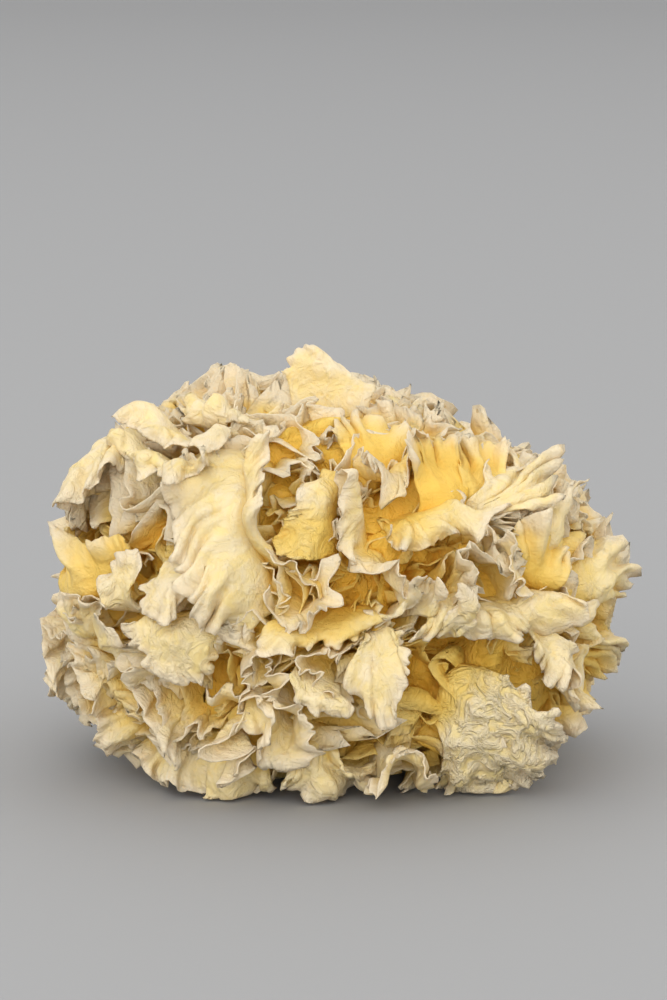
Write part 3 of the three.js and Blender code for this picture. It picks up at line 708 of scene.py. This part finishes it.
def make_piece(name, parts, material):
    """One object from many parts, with an attribute for each trait that the material reads."""
    points = np.concatenate([part.points for part in parts])
    starts = np.cumsum([0] + [len(part.points) for part in parts[:-1]])
    faces = [sized + start for part, start in zip(parts, starts) for sized in part.faces]
    sides = np.concatenate([np.full(len(sized), sized.shape[1]) for sized in faces])
    corners = np.concatenate([sized.ravel() for sized in faces])
    mesh = bpy.data.meshes.new(name)
    mesh.vertices.add(len(points))
    mesh.vertices.foreach_set("co", (points * MM).ravel())
    mesh.loops.add(len(corners))
    mesh.loops.foreach_set("vertex_index", corners)
    mesh.polygons.add(len(sides))
    mesh.polygons.foreach_set("loop_start", np.cumsum(sides) - sides)
    mesh.update(calc_edges=True)
    mesh.validate()
    mesh.shade_smooth()
    traits = {title: np.concatenate([getattr(part, title) for part in parts])
              for title in ("from_rim", "tint", "crinkle")}
    traits["from_rim"] = traits["from_rim"] / RIM_BAND
    traits["reach"] = reach_of(points)
    for title, values in traits.items():
        mesh.attributes.new(title, "FLOAT", "POINT").data.foreach_set("value", values)
    mesh.materials.append(material)
    piece = bpy.data.objects.new(name, mesh)
    bpy.context.scene.collection.objects.link(piece)
    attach(piece, "root")
    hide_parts(NODE)
    return piece


def group_of(frond):
    """The piece that a frond belongs to, by where the middle of its rim is."""
    azimuth, elevation = frond["at"] if "at" in frond else frond["rim"][len(frond["rim"]) // 2][:2]
    if elevation > CROWN_FROM:
        return "crown"
    if elevation < UNDERSIDE_TO:
        return "underside"
    if abs(azimuth) > BACK_FROM:
        return "back"
    if abs(azimuth) > SIDE_FROM:
        return "right" if azimuth > 0 else "left"
    return "front_upper" if elevation > 0 else "front_lower"


def add_pieces():
    """A frond's number seeds its ruffles, so the order of the fronds matters."""
    placed = MEMBRANES + FRONDS
    spread = spread_fronds(count=350, reach=AROUND_REACH, seed=0, in_front=False)
    spread += spread_fronds(count=400, reach=FRONT_REACH, seed=3, in_front=True)
    groups = {}
    for number, frond in enumerate(placed + spread):
        detail = PLACED if number < len(placed) else SPREAD
        groups.setdefault(group_of(frond), []).append(frond_mesh(frond, number, detail))
    groups["heart"] = [heart_mesh()]
    flesh = dried_flesh()
    for group, parts in groups.items():
        make_piece(f"{group}_fronds", parts, flesh)


# ---- materials ----

# From the deepest folds, whose amber and gold are painted shade and glow, to the outermost, and the palest
# rims and patches.
AMBER = (0.98, 0.52, 0.04)
GOLD = (0.98, 0.59, 0.07)
HONEY = (0.98, 0.665, 0.125)
CREAM = (0.98, 0.73, 0.22)
IVORY = (0.97, 0.78, 0.34)
RIM = (0.96, 0.84, 0.6)
FLOOR_NEAR = (0.34, 0.34, 0.342)
FLOOR_FAR = (0.203, 0.203, 0.205)
FADE_START, FADE_END = -0.2, 2.6  # m towards the back, between which the floor darkens: painted falloff of the light
BUMP = 0.3  # mm
THROUGH_FOLDS, THROUGH_RIM = 0.17, 0.22  # the share of the light that takes the way through the flesh


def grey(value):
    return (value,) * 3


class NodeMaker:
    """Adds nodes to a material. A value may be a number, a colour or another node's output."""

    def __init__(self, material):
        material.use_nodes = True
        self.nodes = material.node_tree.nodes
        self.links = material.node_tree.links

    def put(self, socket, value):
        if isinstance(value, bpy.types.NodeSocket):
            self.links.new(value, socket)
        else:
            socket.default_value = (*value, 1) if isinstance(value, tuple) else value

    def node(self, node_type, **inputs):
        made = self.nodes.new(node_type)
        for name, value in inputs.items():
            self.put(made.inputs[name.replace("_", " ")], value)
        return made

    def coordinates(self):
        return self.node("ShaderNodeTexCoord").outputs["Object"]

    def noise(self, scale, detail, roughness, distortion=0.0):
        made = self.node("ShaderNodeTexNoise", Vector=self.coordinates(), Scale=scale, Detail=detail,
                         Roughness=roughness, Distortion=distortion)
        return made.outputs["Fac"]

    def attribute(self, name):
        made = self.node("ShaderNodeAttribute")
        made.attribute_name = name
        return made.outputs["Fac"]

    def scaled(self, value, low, high, start=0.0, end=1.0):
        """The value brought from the range start to end into the range low to high, and kept in it."""
        made = self.node("ShaderNodeMapRange", Value=value, From_Min=start, From_Max=end, To_Min=low,
                         To_Max=high)
        return made.outputs["Result"]

    def ramp(self, value, *stops):
        made = self.node("ShaderNodeValToRGB", Fac=value)
        elements = made.color_ramp.elements
        while len(elements) < len(stops):
            elements.new(0.5)
        for element, (place, colour) in zip(elements, stops):
            element.position = place
            element.color = (*colour, 1)
        return made.outputs["Color"]

    def mix(self, share, first, second):
        made = self.node("ShaderNodeMix")
        made.data_type = "RGBA"
        for index, value in ((0, share), (6, first), (7, second)):
            self.put(made.inputs[index], value)
        return made.outputs[2]

    def maths(self, operation, first, second):
        made = self.node("ShaderNodeMath")
        made.operation = operation
        self.put(made.inputs[0], first)
        self.put(made.inputs[1], second)
        return made.outputs[0]

    def plus(self, first, second):
        return self.maths("ADD", first, second)

    def times(self, first, second):
        return self.maths("MULTIPLY", first, second)


def dried_flesh():
    """Dry membrane: golden in the folds, as painted shade and glow; cream and frosted further out; palest
    at the ragged rims, partly as a painted highlight.
    """
    material = bpy.data.materials.new("dried_flesh")
    make = NodeMaker(material)
    shader = make.nodes["Principled BSDF"]
    reach, from_rim, tint, crinkle = map(make.attribute, ("reach", "from_rim", "tint", "crinkle"))
    blotches = make.noise(60, 4, 0.6)
    specks = make.noise(400, 3, 0.6)
    frosting = make.noise(170, 8, 0.65, distortion=1.0)
    crinkles = make.noise(230, 4, 0.6, distortion=0.8)

    # Painted shade: both the body colour and the pale one turn to gold and amber towards the deep folds, by
    # how far out a point is, for the glow of light caught there.
    depth = make.plus(reach, make.scaled(blotches, -0.12, 0.12))
    depth = make.plus(depth, make.scaled(tint, -0.08, 0.08))
    body = make.ramp(depth, (0.7, AMBER), (0.82, GOLD), (0.91, HONEY), (0.97, CREAM), (1, IVORY))
    pale = make.ramp(depth, (0.78, GOLD), (0.87, HONEY), (0.93, CREAM), (1, RIM))
    # dry white patches, most on the folds with a high tint
    frost = make.ramp(frosting, (0.42, grey(0)), (0.62, grey(0.8)))
    colour = make.mix(make.times(frost, tint), body, pale)
    # a net of fine creases, whose crests, raised by the bump, are painted pale: a painted highlight on the
    # ridges
    crest = make.ramp(crinkles, (0.38, grey(0)), (0.5, grey(1)), (0.62, grey(0)))
    crest_highlight = make.times(make.scaled(crest, 0, 0.45), crinkle)
    colour = make.mix(crest_highlight, colour, pale)
    # the rims, paler than the faces and partly a painted highlight, whose colour has a ragged border
    ragged = make.plus(from_rim, make.scaled(specks, -0.3, 0.3))
    edge = make.ramp(ragged, (0, grey(1)), (0.15, grey(0.85)), (0.32, grey(0.35)), (0.6, grey(0)))
    colour = make.mix(edge, colour, pale)
    # painted shade: honey in the pits, where the bump is lowest
    pit_shade = make.ramp(specks, (0.3, grey(0.3)), (0.42, grey(0)))
    colour = make.mix(pit_shade, colour, HONEY)
    make.put(shader.inputs["Base Color"], colour)
    make.put(shader.inputs["Roughness"], 0.5)

    height = make.plus(make.times(crest, crinkle), make.scaled(specks, 0, 0.6))
    height = make.plus(height, make.scaled(frosting, 0, 3.5))
    bump = make.node("ShaderNodeBump", Height=height, Strength=1.0, Distance=BUMP * MM)
    bumpy = bump.outputs["Normal"]
    make.put(shader.inputs["Normal"], bumpy)

    # The thin flesh lets some light through, which comes out more golden, and the most at the rims.
    golden = make.mix(0.5, colour, GOLD)
    through = make.node("ShaderNodeBsdfTranslucent", Color=golden, Normal=bumpy)
    share = make.scaled(from_rim, THROUGH_RIM, THROUGH_FOLDS)
    thin = make.node("ShaderNodeMixShader", Fac=share)
    make.put(thin.inputs[1], shader.outputs["BSDF"])
    make.put(thin.inputs[2], through.outputs["BSDF"])
    make.put(make.nodes["Material Output"].inputs["Surface"], thin.outputs["Shader"])
    return material


def floor_paint():
    """Grey that darkens towards the back: painted falloff of the light."""
    material = bpy.data.materials.new("floor")
    make = NodeMaker(material)
    shader = make.nodes["Principled BSDF"]
    apart = make.node("ShaderNodeSeparateXYZ", Vector=make.coordinates())
    painted_falloff = make.scaled(apart.outputs["Y"], 0, 1, FADE_START, FADE_END)
    make.put(shader.inputs["Base Color"], make.mix(painted_falloff, FLOOR_NEAR, FLOOR_FAR))
    make.put(shader.inputs["Roughness"], 0.8)
    return material


# ---- floor, light and camera ----

FLOOR_REACH = 12  # m to each side
WORLD_STRENGTH = 1.12
SUN_STRENGTH = 1.5
SUN_ANGLE = 60  # degrees across, so that its shadows are soft
SUNLIGHT = (0.3, 1.2, -0.4)  # the way it shines: from the front, a little from the left and above
SENSOR = 36  # mm, as are the lengths below
LENS = 218.18591
CAMERA_DISTANCE = 750
TARGET_HEIGHT = 49.2
CAMERA_ELEVATION = math.radians(10)


def add_floor():
    mesh = bpy.data.meshes.new("floor")
    corners = [(x * FLOOR_REACH, y * FLOOR_REACH, 0) for x, y in ((-1, -1), (1, -1), (1, 1), (-1, 1))]
    mesh.from_pydata(corners, [], [(0, 1, 2, 3)])
    mesh.materials.append(floor_paint())
    floor = bpy.data.objects.new("floor", mesh)
    bpy.context.scene.collection.objects.link(floor)


def add_light():
    world = bpy.data.worlds.new("studio")
    bpy.context.scene.world = world
    world.use_nodes = True
    background = world.node_tree.nodes["Background"]
    background.inputs["Color"].default_value = (1, 1, 1, 1)
    background.inputs["Strength"].default_value = WORLD_STRENGTH

    light = bpy.data.lights.new("softbox_sun", "SUN")
    light.energy = SUN_STRENGTH
    light.angle = math.radians(SUN_ANGLE)
    sun = bpy.data.objects.new("softbox_sun", light)
    sun.rotation_euler = Vector(SUNLIGHT).to_track_quat("-Z", "Y").to_euler()
    bpy.context.scene.collection.objects.link(sun)


def add_camera():
    optics = bpy.data.cameras.new("camera")
    optics.sensor_width = SENSOR
    optics.sensor_fit = "HORIZONTAL"
    optics.lens = LENS
    camera = bpy.data.objects.new("camera", optics)
    towards = Vector((0, -math.cos(CAMERA_ELEVATION), math.sin(CAMERA_ELEVATION)))
    camera.location = Vector((0, 0, TARGET_HEIGHT * MM)) + towards * (CAMERA_DISTANCE * MM)
    camera.rotation_euler = (-towards).to_track_quat("-Z", "Y").to_euler()
    bpy.context.scene.collection.objects.link(camera)
    bpy.context.scene.camera = camera


add_pieces()
add_floor()
add_light()
add_camera()
bpy.context.scene.view_settings.view_transform = "Standard"
